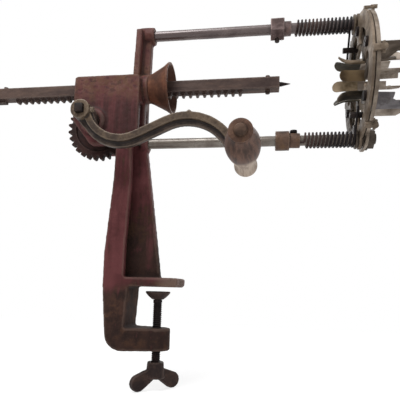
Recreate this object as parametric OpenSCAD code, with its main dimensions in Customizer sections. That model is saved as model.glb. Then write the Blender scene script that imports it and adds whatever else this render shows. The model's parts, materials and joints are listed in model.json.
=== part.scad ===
// Hand-cranked corn cutter: a rack pushes the cob from a cup through a ring of sprung knives.
// X runs along the rack towards the knives, Z is up, Y points away from the crank.
// The origin is on the clamp jaw's underside, on the clamp screw's axis.

/* [Frame] */
// Height of the rack's axis over the table
rack_height = 220; // [190:1:260]
// Distance of the tie rods from the rack's axis
rod_offset = 63; // [55:0.5:75]
// Distance from the clamp screw back to the gear shaft
shaft_back = 74; // [70:0.5:80]
// Depth of the casting, front to back
frame_depth = 44; // [38:1:56]
// Thickness of a gear cheek
cheek = 8; // [6:0.5:9]
// Thickness of the post's web
web = 10; // [6:0.5:14]
// Thickness of the clamp jaw
jaw_thick = 9.5; // [7:0.5:14]
// Opening of the clamp's throat
throat = 42.5; // [36:0.5:60]
// Height of the lower clamp arm
arm_height = 23; // [18:1:30]

/* [Rack and gear] */
// Gear module
gear_module = 2.5; // [2:0.1:3]
// Teeth on the gear
gear_teeth = 28; // [24:1:30]
// Teeth on the rack
rack_teeth = 34; // [28:1:38]
// Side of the square rack bar
bar = 12.8; // [11:0.2:15]
// Width of the rack's tooth strip
tooth_width = 6.6; // [5:0.2:8]
// Face width of the gear
gear_face = 8; // [6.5:0.5:12]
// Play between the flanks
backlash = 0.3; // [0.2:0.05:0.5]
// Radius of the gear shaft
shaft_r = 8; // [6:0.25:9]

/* [Crank] */
// Reach of the crank to the right of its shaft
crank_x = 166.6; // [164:0.1:169]
// Drop of the grip below the shaft
crank_z = 59.9; // [58:0.1:62]
// Width of the arm
arm_width = 13; // [10:0.5:15]
// Thickness of the arm's strip
arm_thick = 5; // [4:0.25:7]
// Height of the rib on the arm
rib_high = 4.5; // [3:0.25:6]
// Length of the wooden grip
grip_length = 90; // [80:1:100]
// Radius of the grip's belly
grip_belly = 14.8; // [13:0.2:18]
// Radius of the grip's waist
grip_waist = 9.8; // [8.5:0.1:12]

/* [Clamp] */
// Radius of the clamp screw
screw_r = 4.7; // [4:0.1:6]
// Radius of the pad
pad_r = 13; // [11:0.5:16]
// Gap between pad and jaw
pad_gap = 4.6; // [4.5:0.1:8]
// Turn of the wing key
wing_turn = 45; // [0:1:80]

/* [Cup and rods] */
// Outer radius of the cup's rim
cup_r = 28; // [25:0.5:32]
// Length of the cup
cup_length = 24.5; // [22:0.5:32]
// Radius of the tie rods
rod_r = 5.5; // [4.75:0.25:6.25]
// Distance from the clamp screw to the head plate
head_x = 205; // [200:0.5:225]

/* [Springs] */
// Radius of the spring wire
wire_r = 1.1; // [0.9:0.05:1.3]
// Mean radius of the curls
coil_r = 7.4; // [7.2:0.05:8]
// Length of the top spring
top_spring_length = 63.2; // [55:0.1:72]
// Length of the bottom spring
bottom_spring_length = 53.9; // [45:0.1:62]
// Curls of the top spring
top_curls = 15; // [10:1:16]
// Curls of the bottom spring
bottom_curls = 13; // [8:1:14]

/* [Head] */
// Outer radius of the head plate
plate_r = 66.5; // [65.5:0.5:72]
// Radius of the hole through the head plate
plate_hole = 36; // [35:0.5:37.5]
// Thickness of the plate and of the cam ring
plate_thick = 2.5; // [2:0.25:4]
// Radius of the knives' pivot circle
pivot_circle = 50; // [49:0.25:51.5]
// Radius on which the fingers stand
finger_r = 19; // [18:0.25:21]
// Width of a finger
finger_width = 11; // [10:0.25:12.5]
// Knife turn for each degree of ring turn
knife_ratio = 1.5; // [1.3:0.05:1.6]
// Ring turn towards open
ring_open = 7; // [5:0.5:7]
// Ring turn towards closed
ring_close = 6; // [4:0.5:6]
// Length of the knife plates behind the arms
blade_length = 48; // [40:1:56]

/* [Clearances] */
// Running clearance on a radius
run = 0.05; // [0.03:0.01:0.08]
// Clearance beside sliding flats
slide_gap = 0.2; // [0.1:0.05:0.4]

/* [Hidden] */
$fn = 64;
// colours
red = [0.36, 0.16, 0.13];
rust = [0.42, 0.27, 0.19];
steel = [0.5, 0.46, 0.41];
dark = [0.2, 0.19, 0.19];
wood = [0.5, 0.44, 0.38];
// gear and rack
pitch = PI * gear_module;
pitch_r = gear_module * gear_teeth / 2;
addendum = 0.8 * gear_module;
dedendum = gear_module;
pressure = 20;
base_r = pitch_r * cos(pressure);
tip_r = pitch_r + addendum;
root_r = pitch_r - dedendum;
pitch_z = rack_height - bar / 2 - dedendum;
gear_x = -shaft_back;
gear_z = pitch_z - pitch_r;
half_depth = frame_depth / 2;
inner = half_depth - cheek;
// teeth to the left of the gear at rest
teeth_back = 13;
bar_back = gear_x - (teeth_back + 0.5) * pitch - 26.5;
bar_front = gear_x + (rack_teeth - teeth_back - 0.5) * pitch + 38;
pin_r = 2.4;
pin_reach = 3.6;
front_pin_x = bar_front - 12.5;
rear_pin_x = bar_back + 12.5;
// frame outline
housing_left = gear_x - 24;
housing_right = gear_x + 50;
housing_top = rack_height + 8.5;
housing_low = gear_z - 22;
post_x = gear_x + 42;
post_front = gear_x + 58;
top_z = rack_height + rod_offset + 7;
strip_half = 14;
cap_half = 8;
spine_left = gear_x + 20;
spine_right = gear_x + 47.5;
spine_lean = 3;
foot_z = -throat - arm_height;
foot_corner = 18;
clamp_boss_r = 14.2;
neck_r = 15.4;
cup_back = post_front - 1;
pocket_r = tip_r + 2.5;
// crank
crank_back = half_depth + 12;
boss_length = 23;
crank_face = crank_back + boss_length;
strip_z = crank_back + 10;
boss_r = 10;
square = 8.5;
arc1 = [42, 7.5];
arc1_r = 40;
shoulder_turn = 40;
shoulder = arc1 - arc1_r * [cos(shoulder_turn), sin(shoulder_turn)];
arc2 = [crank_x - 58.6, -0.5 - crank_z];
arc2_r = 49;
arc_span = norm(arc2 - arc1);
arc_dir = atan2(arc2[1] - arc1[1], arc2[0] - arc1[0]);
cross_dir = 90 + arc_dir - acos((arc1_r + arc2_r) / arc_span);
eye = [crank_x, -crank_z];
eye_span = norm(eye - arc2);
eye_dir = atan2(eye[1] - arc2[1], eye[0] - arc2[0]);
arc2_end = eye_dir + acos(arc2_r / eye_span);
eye_r = 8.5;
rib_width = 7.4;
rib_off = (arm_width - rib_width) / 2 - 0.3;
spindle_r = 4;
grip_start = strip_z + arm_thick + 1;
// clamp
pad_thick = 8.5;
tip_screw_r = 3.6;
neck_back = tip_screw_r + 2.2;
wing_top = foot_z - 11.5;
hub_r = 8.5;
hub_length = 17;
wing_reach = 20;
wing_r = 8.5;
// rods and head
rod_start = post_x + 2;
arm_gap = 0.3;
arm_plate = 1.6;
arm_x = head_x + plate_thick + arm_gap;
ring_x = arm_x + arm_plate + arm_gap;
ring_back = ring_x + plate_thick;
ring_r = plate_r - 0.4;
ring_hole = 40;
ring_lip = 1.1;
sleeve_r = rod_r + 2;
sleeve_back = ring_back + 0.6;
washer_thick = 1.2;
nut_r = 10.4;
nut_thick = 6;
rod_end = sleeve_back + washer_thick + nut_thick + 2;
flange_x = head_x - 3.2;
flange_r = 10;
lug_r = 10.5;
first_pivot = -18.5;
pivot_r = 3;
follower_r = 2.5;
follower_arm = 12;
follower_dir = -110;
finger_turn = 30;
finger_reach = 21.6;
leaf = 1.5;
blade_width = 8.6;
strip_length = blade_length - 18;
blade_rise = 2;
fin_thick = 1.6;
fin_neck = 31;
fin_r = 38;
fin_band = 10;
lobe_half = 8;
lobe_circle = 42.7;
lobe_span = 12;
clip_angle = 2;
clip_width = 5.4;
clip_thick = 3;
clip_length = 12;
// posts and the spring wires that press on them
post_r = 3;
post_circle = 47;
post_angle = first_pivot + 87.5;
post_front_x = head_x - 11;
spring_end = head_x - 4.6;
post_off = coil_r - wire_r - post_r - 0.45;
post_at = post_circle * [cos(post_angle), sin(post_angle)] - [0, rod_offset];
spring_turn = atan2(post_at[1], post_at[0]) + acos(post_off / norm(post_at));
spring_reach = norm(post_at) + 7.5;
// collars
collar_length = 14.5;
top_spring_x = spring_end - top_spring_length;
top_hub_x = top_spring_x - 7.5;
top_collar_x = top_hub_x - collar_length;
bottom_spring_x = spring_end - bottom_spring_length;
bottom_hub_x = bottom_spring_x - 11;
bottom_collar_x = bottom_hub_x - collar_length;

// a flat shape in X and Z, made solid between two depths
module slab(y0, y1) {
    translate([0, y1, 0])
        rotate([90, 0, 0])
            linear_extrude(y1 - y0)
                children();
}

// a flat shape in Y and Z, made solid between two places along X
module plate(x0, x1) {
    translate([x0, 0, 0])
        rotate([90, 0, 90])
            linear_extrude(x1 - x0)
                children();
}

// a round bar along X
module bar_x(x0, x1, r, y, z, r2) {
    translate([x0, y, z])
        rotate([0, 90, 0])
            cylinder(h = x1 - x0, r1 = r, r2 = is_undef(r2) ? r : r2);
}

// a round bar along Y
module bar_y(y0, y1, r, x, z) {
    translate([x, y1, z])
        rotate([90, 0, 0])
            cylinder(h = y1 - y0, r = r);
}

function involute(a) = tan(a) * 180 / PI - a;
function flank_half(r) =
    90 / gear_teeth - backlash / (4 * pitch_r) * 180 / PI + involute(pressure)
    - (r > base_r ? involute(acos(base_r / r)) : 0);
flank = [for (i = [0:5]) root_r + (tip_r - root_r) * i / 5];
function tooth(a) = concat(
    [for (r = flank) r * [cos(a - flank_half(r)), sin(a - flank_half(r))]],
    [for (i = [5:-1:0]) flank[i] * [cos(a + flank_half(flank[i])), sin(a + flank_half(flank[i]))]]
);

// the rack bar's section with its tooth strip, grown by a clearance
module rack_hole(g) {
    translate([-bar / 2 - g, rack_height - bar / 2 - g])
        square([bar + 2 * g, bar + 2 * g]);
    translate([-tooth_width / 2 - g - 0.4, pitch_z - addendum - g - 0.6])
        square([tooth_width + 2 * g + 0.8, dedendum + addendum + g + 2]);
}

module cheek_outline() {
    hull() {
        for (x = [housing_left + 4, housing_right - 4])
            translate([x, housing_top - 4])
                circle(r = 4, $fn = 32);
        translate([housing_left + 5, housing_low + 26])
            circle(r = 5, $fn = 32);
        translate([gear_x + 2, housing_low + 4])
            circle(r = 8, $fn = 32);
        translate([housing_right - 4, housing_low])
            circle(r = 4, $fn = 32);
    }
}

module post_outline() {
    polygon([
        [post_x - 4, housing_low + 30], [housing_right - 6, housing_low + 30],
        [gear_x + 45.5, rack_height - 110], [gear_x + 42, 37], [gear_x + 42, -2],
        [spine_left, -2], [spine_left, 37], [gear_x + 26, rack_height - 110], [gear_x + 27, housing_low - 8]
    ]);
}

module web_outline() {
    polygon([
        [gear_x + 30, jaw_thick - 1], [gear_x + 76, jaw_thick - 1], [gear_x + 75, 18], [gear_x + 67.5, 72],
        [gear_x + 58, rack_height - 81], [post_front - 1.5, rack_height - rod_offset - 9],
        [post_front - 1.5, rack_height - rod_offset + 9], [gear_x + 52, rack_height - 40],
        [gear_x + 52, rack_height - 10], [post_front - 2, rack_height + 8], [post_front - 1, top_z - 22],
        [post_front - 1, top_z - 4], [post_front - 4, top_z - 2], [post_x + 3, top_z - 2],
        [post_x + 1, rack_height + 12], [gear_x + 30, rack_height + 6]
    ]);
}

module jaw_outline() {
    polygon([
        [gear_x + 30, 0], [gear_x + 96.5, 0], [gear_x + 98.6, 3], [gear_x + 98.6, jaw_thick - 1],
        [gear_x + 97.5, jaw_thick], [gear_x + 30, jaw_thick]
    ]);
}

module foot_outline() {
    corner = [spine_left + 4 + foot_corner, foot_z + foot_corner];
    polygon(concat(
        [[spine_left, 3], [spine_left, -2]],
        [for (a = [180:10:270]) corner + foot_corner * [cos(a), sin(a)]],
        [[0, foot_z], [0, -throat], [spine_right - spine_lean, -throat], [spine_right, 3]]
    ));
}

// the foot from above: as deep as the cheeks at the spine, narrowing to the screw's boss
module foot_plan() {
    wide = half_depth + 1;
    narrow = clamp_boss_r - 0.4;
    polygon([
        [spine_left - 1, -wide], [spine_right - 6, -wide], [0, -narrow], [1, -narrow],
        [1, narrow], [0, narrow], [spine_right - 6, wide], [spine_left - 1, wide]
    ]);
}

module frame_casting() {
    color(red)
        difference() {
            union() {
                for (s = [-1, 1])
                    slab(min(s * inner, s * half_depth), max(s * inner, s * half_depth))
                        union() {
                            cheek_outline();
                            post_outline();
                        }
                // upper strip beside the web
                slab(-strip_half, strip_half)
                    polygon([
                        [post_x - 0.6, top_z - 4], [post_x - 3, rack_height], [post_x + 4, rack_height],
                        [post_x + 6, top_z - 4]
                    ]);
                slab(-cap_half, cap_half)
                    polygon([
                        [post_x, top_z - 14], [post_x, top_z - 3], [post_x + 3, top_z],
                        [post_front - 3, top_z], [post_front, top_z - 3], [post_front, top_z - 14]
                    ]);
                // left wall of the post
                slab(-half_depth, half_depth)
                    polygon([
                        [spine_left, 0], [spine_left, 37], [gear_x + 26, rack_height - 110],
                        [gear_x + 27, housing_low - 8], [gear_x + 35, housing_low - 4],
                        [gear_x + 34, rack_height - 110], [spine_left + 8, 37], [spine_left + 8, 0]
                    ]);
                slab(-web / 2, web / 2)
                    web_outline();
                slab(-half_depth, half_depth)
                    jaw_outline();
                intersection() {
                    slab(-half_depth, half_depth)
                        foot_outline();
                    translate([0, 0, foot_z - 1])
                        linear_extrude(throat + arm_height + 5)
                            foot_plan();
                }
                translate([0, 0, foot_z])
                    cylinder(h = arm_height, r = clamp_boss_r);
                // guides for the rack
                slab(-inner - 1, inner + 1)
                    polygon([
                        [housing_left, rack_height - 16], [housing_left, housing_top - 3],
                        [housing_left + 3, housing_top], [housing_right, housing_top],
                        [housing_right, rack_height - 20], [housing_right - 9, rack_height - 20],
                        [housing_right - 9, rack_height + 2], [housing_left + 12, rack_height + 2],
                        [housing_left + 12, rack_height - 16]
                    ]);
                bar_x(gear_x + 40, cup_back, neck_r, 0, rack_height);
                bar_x(post_x + 0.5, post_front + 2, 9.5, 0, rack_height + rod_offset);
                bar_x(post_x + 8, post_front, 9.5, 0, rack_height - rod_offset);
                // shaft bosses
                bar_y(-half_depth - 3, -inner + 0.5, 14, gear_x, gear_z);
                bar_y(inner - 0.5, half_depth + 3, 14, gear_x, gear_z);
            }
            bar_y(-inner, inner, pocket_r, gear_x, gear_z);
            plate(housing_left - 1, cup_back + 1)
                rack_hole(slide_gap);
            bar_y(-half_depth - 4, half_depth + 4, shaft_r + run, gear_x, gear_z);
            for (s = [-1, 1])
                bar_x(rod_start, post_front + 5, rod_r + run, 0, rack_height + s * rod_offset);
            translate([0, 0, foot_z - 1])
                cylinder(h = arm_height + 2, r = screw_r + run);
        }
}

module cob_cup() {
    color(rust)
        translate([cup_back, 0, rack_height])
            rotate([0, 90, 0])
                difference() {
                    rotate_extrude()
                        polygon([
                            [0, 0], [neck_r, 0], [neck_r + 1, 3], [cup_r - 4, cup_length - 7],
                            [cup_r, cup_length - 1.5], [cup_r, cup_length], [cup_r - 2.6, cup_length],
                            [cup_r - 6.5, cup_length - 7], [neck_r - 1.5, 6], [neck_r - 2, 4], [0, 4]
                        ]);
                    translate([0, 0, -1])
                        linear_extrude(6)
                            rotate(90)
                                translate([0, -rack_height])
                                    rack_hole(slide_gap);
                }
}

module tie_rod(s) {
    color(steel)
        bar_x(rod_start, rod_end, rod_r, 0, rack_height + s * rod_offset);
}

module top_rod() {
    tie_rod(1);
}

module bottom_rod() {
    tie_rod(-1);
}

module top_collar() {
    z = rack_height + rod_offset;
    color(rust)
        difference() {
            union() {
                translate([top_collar_x, 0, z])
                    rotate([0, 90, 0])
                        cylinder(h = collar_length, r = 12.6, $fn = 6);
                bar_x(top_hub_x - 1, top_spring_x, 7.6, 0, z);
            }
            bar_x(top_collar_x - 1, top_spring_x + 1, rod_r + run, 0, z);
            translate([top_collar_x + 7, 0, z - 14])
                cylinder(h = 14, r = 2.5 + run);
        }
}

module bottom_collar() {
    z = rack_height - rod_offset;
    color(rust)
        difference() {
            union() {
                bar_x(bottom_collar_x, bottom_hub_x, 10.2, 0, z);
                bar_x(bottom_hub_x - 1, bottom_spring_x, 7.8, 0, z);
            }
            bar_x(bottom_collar_x - 1, bottom_spring_x + 1, rod_r + run, 0, z);
            translate([bottom_hub_x + 4.5, 0, z])
                cylinder(h = 14, r = 2.5 + run);
        }
}

module top_set_screw() {
    z = rack_height + rod_offset;
    color(dark)
        translate([top_collar_x + 7, 0, z - 14.5])
            cylinder(h = 14.5 - rod_r - run, r = 2.5);
}

module bottom_set_screw() {
    z = rack_height - rod_offset;
    color(dark)
        translate([bottom_hub_x + 4.5, 0, z + rod_r + run]) {
            cylinder(h = 5, r = 2.5);
            translate([0, 0, 2.8])
                cylinder(h = 2.5, r = 3.8);
        }
}

// spring centreline laid on its cylinder: along X, then around
bend_r = 2.4;
function coil_path(x0, x1, curls) =
    let (
        lead = 2 * wire_r,
        first = x0 + lead + bend_r,
        around = 2 * PI * coil_r,
        turn = 360 * curls - bend_r * 180 / PI / coil_r
    )
    concat(
        [[x0, 0], [x0 + lead, 0]],
        [for (t = [22.5, 45, 67.5]) [x0 + lead + bend_r * sin(t), bend_r * (1 - cos(t)) / around * 360]],
        [for (i = [0:8 * curls - 1])
            [first + (x1 - first) * i / (8 * curls - 1), 360 * curls - turn + turn * i / (8 * curls - 1)]]
    );
function coil_points(x0, x1, curls) = concat(
    [for (p = coil_path(x0, x1, curls))
        [p[0], coil_r * cos(360 * curls - p[1]), coil_r * sin(360 * curls - p[1])]],
    [[x1, coil_r, -wire_r], [x1, coil_r, -2 * wire_r]]
);
function unit(v) = v / norm(v);
function way(p, i) = unit(p[min(i + 1, len(p) - 1)] - p[max(i - 1, 0)]);
function tube_points(p, r) = [
    for (i = [0:len(p) - 1])
        let (
            d = i == len(p) - 1 ? [0, 0, -1] : i < 2 ? [1, 0, 0] : way(p, i),
            out = unit([0, p[i][1], i > len(p) - 3 ? 0 : p[i][2]]),
            n = unit(out - (out * d) * d),
            b = cross(d, n)
        )
        for (k = [0:5]) p[i] + r * (cos(60 * k) * n + sin(60 * k) * b)
];
function tube_faces(n) = concat(
    [[for (k = [0:5]) k]],
    [[for (k = [5:-1:0]) (n - 1) * 6 + k]],
    [for (i = [0:n - 2]) for (k = [0:5])
        [i * 6 + k, (i + 1) * 6 + k, (i + 1) * 6 + (k + 1) % 6]],
    [for (i = [0:n - 2]) for (k = [0:5])
        [i * 6 + k, (i + 1) * 6 + (k + 1) % 6, i * 6 + (k + 1) % 6]]
);
function self_gap(p) =
    min([for (i = [0:len(p) - 8]) min([for (j = [i + 6:len(p) - 1]) norm(p[i] - p[j])])]) - 2 * wire_r;
top_coil = coil_points(top_spring_x, spring_end, top_curls);
bottom_coil = coil_points(bottom_spring_x, spring_end, bottom_curls);
echo(top_spring_least_gap = self_gap(top_coil), bottom_spring_least_gap = self_gap(bottom_coil));

module top_spring() {
    color(dark)
        translate([0, 0, rack_height + rod_offset])
            rotate([spring_turn, 0, 0])
                polyhedron(tube_points(top_coil, wire_r), tube_faces(len(top_coil)));
}

module bottom_spring() {
    color(dark)
        translate([0, 0, rack_height - rod_offset])
            rotate([spring_turn + 180, 0, 0])
                polyhedron(tube_points(bottom_coil, wire_r), tube_faces(len(bottom_coil)));
}

module spring_arm() {
    color(dark)
        translate([spring_end, 0, rod_offset])
            rotate([spring_turn, 0, 0])
                translate([0, coil_r, -2 * wire_r - 0.02])
                    rotate([180, 0, 0])
                        cylinder(h = spring_reach, r = wire_r, $fn = 24);
}

module top_spring_arm() {
    translate([0, 0, rack_height])
        spring_arm();
}

module bottom_spring_arm() {
    translate([0, 0, rack_height])
        rotate([180, 0, 0])
            spring_arm();
}

module rod_flange(s) {
    z = rack_height + s * rod_offset;
    color(steel)
        difference() {
            union() {
                bar_x(flange_x, flange_x + 1.6, flange_r, 0, z);
                bar_x(flange_x + 1, head_x, 8, 0, z);
            }
            bar_x(flange_x - 1, head_x + 1, rod_r + run, 0, z);
        }
}

module top_flange() {
    rod_flange(1);
}

module bottom_flange() {
    rod_flange(-1);
}

// a strip of even width along a path, with round ends
function side(p, i, w) = let (d = way(p, i)) p[i] + w * [-d[1], d[0]];
function cap(p, i, w, turn) =
    let (d = way(p, i), a = atan2(d[1], d[0]) + turn)
    [for (k = [1:7]) p[i] + w * [cos(a - 22.5 * k), sin(a - 22.5 * k)]];
module ribbon(p, w) {
    n = len(p) - 1;
    polygon(concat(
        [for (i = [0:n]) side(p, i, w)],
        cap(p, n, w, 90),
        [for (i = [n:-1:0]) side(p, i, -w)],
        cap(p, 0, w, -90)
    ));
}
function arc(r, a0, a1, n) = [for (i = [0:n]) let (a = a0 + (a1 - a0) * i / n) r * [cos(a), sin(a)]];

module circle_at(r, a, size) {
    rotate(a)
        translate([r, 0])
            circle(r = size, $fn = 40);
}

module head_plate() {
    color(steel)
        translate([0, 0, rack_height])
            plate(head_x, head_x + plate_thick)
                difference() {
                    union() {
                        circle(r = plate_r, $fn = 128);
                        for (s = [90, 270])
                            circle_at(rod_offset, s, lug_r);
                    }
                    circle(r = plate_hole, $fn = 96);
                    for (s = [90, 270])
                        circle_at(rod_offset, s, rod_r + run);
                    for (i = [0:5])
                        rotate(first_pivot + 60 * i) {
                            circle_at(pivot_circle, 0, pivot_r + run);
                            // a lobe of the opening, in which a knife swings
                            rotate(finger_turn)
                                ribbon(arc(lobe_circle, -lobe_span, lobe_span, 8), lobe_half);
                        }
                }
}

module pivot_screws() {
    color(dark)
        translate([0, 0, rack_height])
            for (i = [0:5])
                rotate([first_pivot + 60 * i, 0, 0]) {
                    bar_x(head_x - 2.6, head_x, 4.8, pivot_circle, 0);
                    bar_x(head_x - 0.5, arm_x + arm_plate + 0.1, pivot_r, pivot_circle, 0);
                }
}

module rod_sleeve(s) {
    z = rack_height + s * rod_offset;
    color(steel)
        difference() {
            bar_x(head_x + plate_thick, sleeve_back, sleeve_r, 0, z);
            bar_x(head_x, sleeve_back + 1, rod_r + run, 0, z);
        }
}

module top_sleeve() {
    rod_sleeve(1);
}

module bottom_sleeve() {
    rod_sleeve(-1);
}

module rod_nut(s) {
    z = rack_height + s * rod_offset;
    color(steel)
        difference() {
            union() {
                bar_x(sleeve_back, sleeve_back + washer_thick, 11.5, 0, z);
                translate([sleeve_back + washer_thick - 0.5, 0, z])
                    rotate([0, 90, 0])
                        cylinder(h = nut_thick + 0.5, r = nut_r, $fn = 6);
            }
            bar_x(sleeve_back - 1, rod_end + 1, rod_r + run, 0, z);
        }
}

module top_nut() {
    rod_nut(1);
}

module bottom_nut() {
    rod_nut(-1);
}

module ring_clips() {
    hook = ring_back + 0.4;
    color(steel)
        translate([0, 0, rack_height])
            for (i = [0:5])
                rotate([clip_angle + 60 * i, 0, 0]) {
                    translate([head_x, plate_r, -clip_width / 2])
                        cube([clip_length - clip_width / 2, clip_thick, clip_width]);
                    // round end with its cross screw
                    translate([head_x + clip_length - clip_width / 2, plate_r, 0])
                        rotate([-90, 0, 0])
                            cylinder(h = clip_thick + 0.6, r = clip_width / 2 + 0.5);
                    translate([hook, plate_r - 5, -clip_width / 2])
                        cube([2, 6, clip_width]);
                    translate([head_x + clip_length - clip_width / 2, plate_r + clip_thick / 2, -clip_width])
                        cylinder(h = 2 * clip_width, r = 1.4);
                }
}

// where a knife's follower runs in the ring when the ring has turned by a
function spin(p, a) = [p[0] * cos(a) - p[1] * sin(a), p[0] * sin(a) + p[1] * cos(a)];
function follower(a) =
    let (d = follower_dir + knife_ratio * a)
    spin([pivot_circle, 0] + follower_arm * [cos(d), sin(d)], -a);
cam = [for (i = [0:16]) follower(-ring_open - 1 + (ring_open + ring_close + 2) * i / 16)];
cam_half = follower_r + 0.15;

sleeve_arc = arc(rod_offset, -ring_close - 1, ring_open + 1, 8);
module cam_ring() {
    color(steel)
        translate([0, 0, rack_height])
            difference() {
                union() {
                    plate(ring_x, ring_back)
                        circle(r = ring_r, $fn = 128);
                    for (a = [90, 270])
                        plate(ring_x, ring_back)
                            rotate(a)
                                ribbon(sleeve_arc, sleeve_r + 3.6);
                    // lip turned towards the plate
                    plate(ring_x - ring_lip, ring_x + 1)
                        circle(r = ring_r, $fn = 128);
                }
                plate(ring_x - ring_lip - 1, ring_x)
                    circle(r = ring_r - 2.6, $fn = 128);
                plate(ring_x - 1, ring_back + 1)
                    circle(r = ring_hole, $fn = 96);
                for (i = [0:5])
                    plate(ring_x - 1, ring_back + 1)
                        rotate(first_pivot + 60 * i)
                            ribbon(cam, cam_half);
                for (a = [90, 270])
                    plate(ring_x - ring_lip - 1, ring_back + 1)
                        rotate(a)
                            ribbon(sleeve_arc, sleeve_r + 2 * run);
            }
}

module ring_post() {
    color(dark)
        rotate([post_angle, 0, 0])
            bar_x(post_front_x, ring_x, post_r, post_circle, 0);
}

module top_post() {
    translate([0, 0, rack_height])
        ring_post();
}

module bottom_post() {
    translate([0, 0, rack_height])
        rotate([180, 0, 0])
            ring_post();
}

saddle_at = (finger_r + 3.5) * [cos(finger_turn), sin(finger_turn)];
follower_at = [pivot_circle, 0] + follower_arm * [cos(follower_dir), sin(follower_dir)];

// a strip between two round ends
module link(p, q, a, b) {
    d = atan2(q[1] - p[1], q[0] - p[0]);
    polygon(concat(
        [for (k = [-90:10:90]) q + b * [cos(d + k), sin(d + k)]],
        [for (k = [90:10:270]) p + a * [cos(d + k), sin(d + k)]]
    ));
}

module knife_arm(i) {
    color(steel)
        translate([0, 0, rack_height])
            rotate([first_pivot + 60 * i, 0, 0]) {
                plate(arm_x, arm_x + arm_plate)
                    difference() {
                        union() {
                            link([pivot_circle, 0], saddle_at + [2, 1], 6.4, 4.6);
                            link([pivot_circle, 0], follower_at, 6.4, 4.6);
                        }
                        circle_at(pivot_circle, 0, pivot_r + run);
                        circle(r = finger_r + 1.5, $fn = 96);
                    }
                bar_x(arm_x + arm_plate - 0.5, ring_back + 0.4, follower_r, follower_at[0], follower_at[1]);
            }
}

module guide_finger(i) {
    x0 = head_x - finger_reach;
    x1 = arm_x + arm_plate;
    r = finger_r;
    color(steel)
        translate([0, 0, rack_height])
            rotate([first_pivot + 60 * i + finger_turn, 0, 0])
                intersection() {
                    translate([x0, 0, 0])
                        rotate([0, 90, 0])
                            rotate([0, 0, 55])
                                rotate_extrude(angle = 70, $fn = 96)
                                    polygon([
                                        [r + 4.6, 0], [r + 2.4, 4], [r + 0.9, 8.5], [r + 0.2, 13], [r, 18],
                                        [r, x1 - x0], [r + leaf, x1 - x0], [r + leaf, 18.2], [r + 1.7, 13.2],
                                        [r + 2.3, 8.9], [r + 3.8, 4.6], [r + 5.7, 1]
                                    ]);
                    slab(0, 60)
                        union() {
                            translate([x0 + finger_width / 2, 0])
                                circle(r = finger_width / 2);
                            translate([x0 + finger_width / 2, -finger_width / 2])
                                square([x1 - x0, finger_width]);
                        }
                }
}

// a narrow strip behind the arm, stiffened by a fin that passes inside the ring
module knife_blade(i) {
    x0 = arm_x + arm_plate;
    x1 = x0 + blade_length;
    clear = ring_back + 1;
    r = finger_r;
    color(steel)
        translate([0, 0, rack_height])
            rotate([first_pivot + 60 * i + finger_turn, 0, 0]) {
                intersection() {
                    translate([x0, 0, 0])
                        rotate([0, 90, 0])
                            rotate([0, 0, 60])
                                rotate_extrude(angle = 60, $fn = 96)
                                    polygon([
                                        [r, 0], [r + 8, 0], [r + 8, leaf], [r + leaf, leaf],
                                        [r + blade_rise + leaf, strip_length], [r + blade_rise, strip_length]
                                    ]);
                    slab(0, 60)
                        translate([x0 - 1, -blade_width / 2])
                            square([strip_length + 2, blade_width]);
                }
                translate([0, 0, -fin_thick / 2])
                    linear_extrude(fin_thick)
                        polygon([
                            [x0, r + 1], [x0, fin_neck], [clear, fin_neck], [clear, fin_r], [x1 - 8, fin_r],
                            [x1 - 1, fin_r - 4], [x1 - 1, fin_r - fin_band],
                            [x0 + strip_length + 1, fin_r - fin_band], [x0 + strip_length - 8, r + 1.5]
                        ]);
                for (t = [0.35, 0.75])
                    translate([x0 + blade_length * t, fin_r - 6, -fin_thick / 2 - 1])
                        cylinder(h = fin_thick + 2, r = 2, $fn = 32);
            }
}

module rack_bar() {
    color(rust)
        difference() {
            union() {
                translate([bar_back, -bar / 2, rack_height - bar / 2])
                    cube([bar_front - bar_back, bar, bar]);
                slab(-tooth_width / 2, tooth_width / 2)
                    for (i = [0:rack_teeth - 1])
                        translate([gear_x + (i - teeth_back) * pitch, pitch_z])
                            rack_tooth();
                translate([bar_back, -tooth_width / 2, pitch_z - addendum + 1])
                    cube([15, tooth_width, 6]);
            }
            for (x = [front_pin_x, rear_pin_x])
                translate([x, 0, rack_height - bar])
                    cylinder(h = 2 * bar, r = pin_r + run);
            bar_x(bar_front - 8, bar_front + 1, 2.4 + run, 0, rack_height);
        }
}

module rack_tooth() {
    half = pitch / 4 - backlash / 4;
    foot = half + (dedendum + 0.3) * tan(pressure);
    top = half - addendum * tan(pressure);
    polygon([[-foot, dedendum + 0.3], [foot, dedendum + 0.3], [top, -addendum], [-top, -addendum]]);
}

module cob_spike() {
    color(dark) {
        bar_x(bar_front - 7.8, bar_front + 2, 2.4, 0, rack_height);
        bar_x(bar_front + 1.9, bar_front + 11.5, 2.4, 0, rack_height, 0.3);
    }
}

module stop_pin(x) {
    color(dark)
        translate([x, 0, rack_height - bar / 2 - pin_reach])
            cylinder(h = bar + 2 * pin_reach, r = pin_r);
}

module front_stop_pin() {
    stop_pin(front_pin_x);
}

module rear_stop_pin() {
    stop_pin(rear_pin_x);
}

module drive_gear() {
    color(red)
        translate([gear_x, 0, gear_z])
            rotate([90, 0, 0])
                difference() {
                    union() {
                        translate([0, 0, -gear_face / 2])
                            linear_extrude(gear_face) {
                                difference() {
                                    circle(r = root_r + 0.2, $fn = 112);
                                    circle(r = root_r - 5.5);
                                }
                                for (i = [0:gear_teeth - 1])
                                    polygon(tooth(90 + (i + 0.5) * 360 / gear_teeth));
                            }
                        translate([0, 0, -2])
                            cylinder(h = 4, r = root_r - 5);
                        translate([0, 0, -inner + 0.4])
                            cylinder(h = 2 * inner - 0.8, r = 13);
                    }
                    translate([0, 0, -inner])
                        cylinder(h = 2 * inner, r = shaft_r + run);
                }
}

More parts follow.
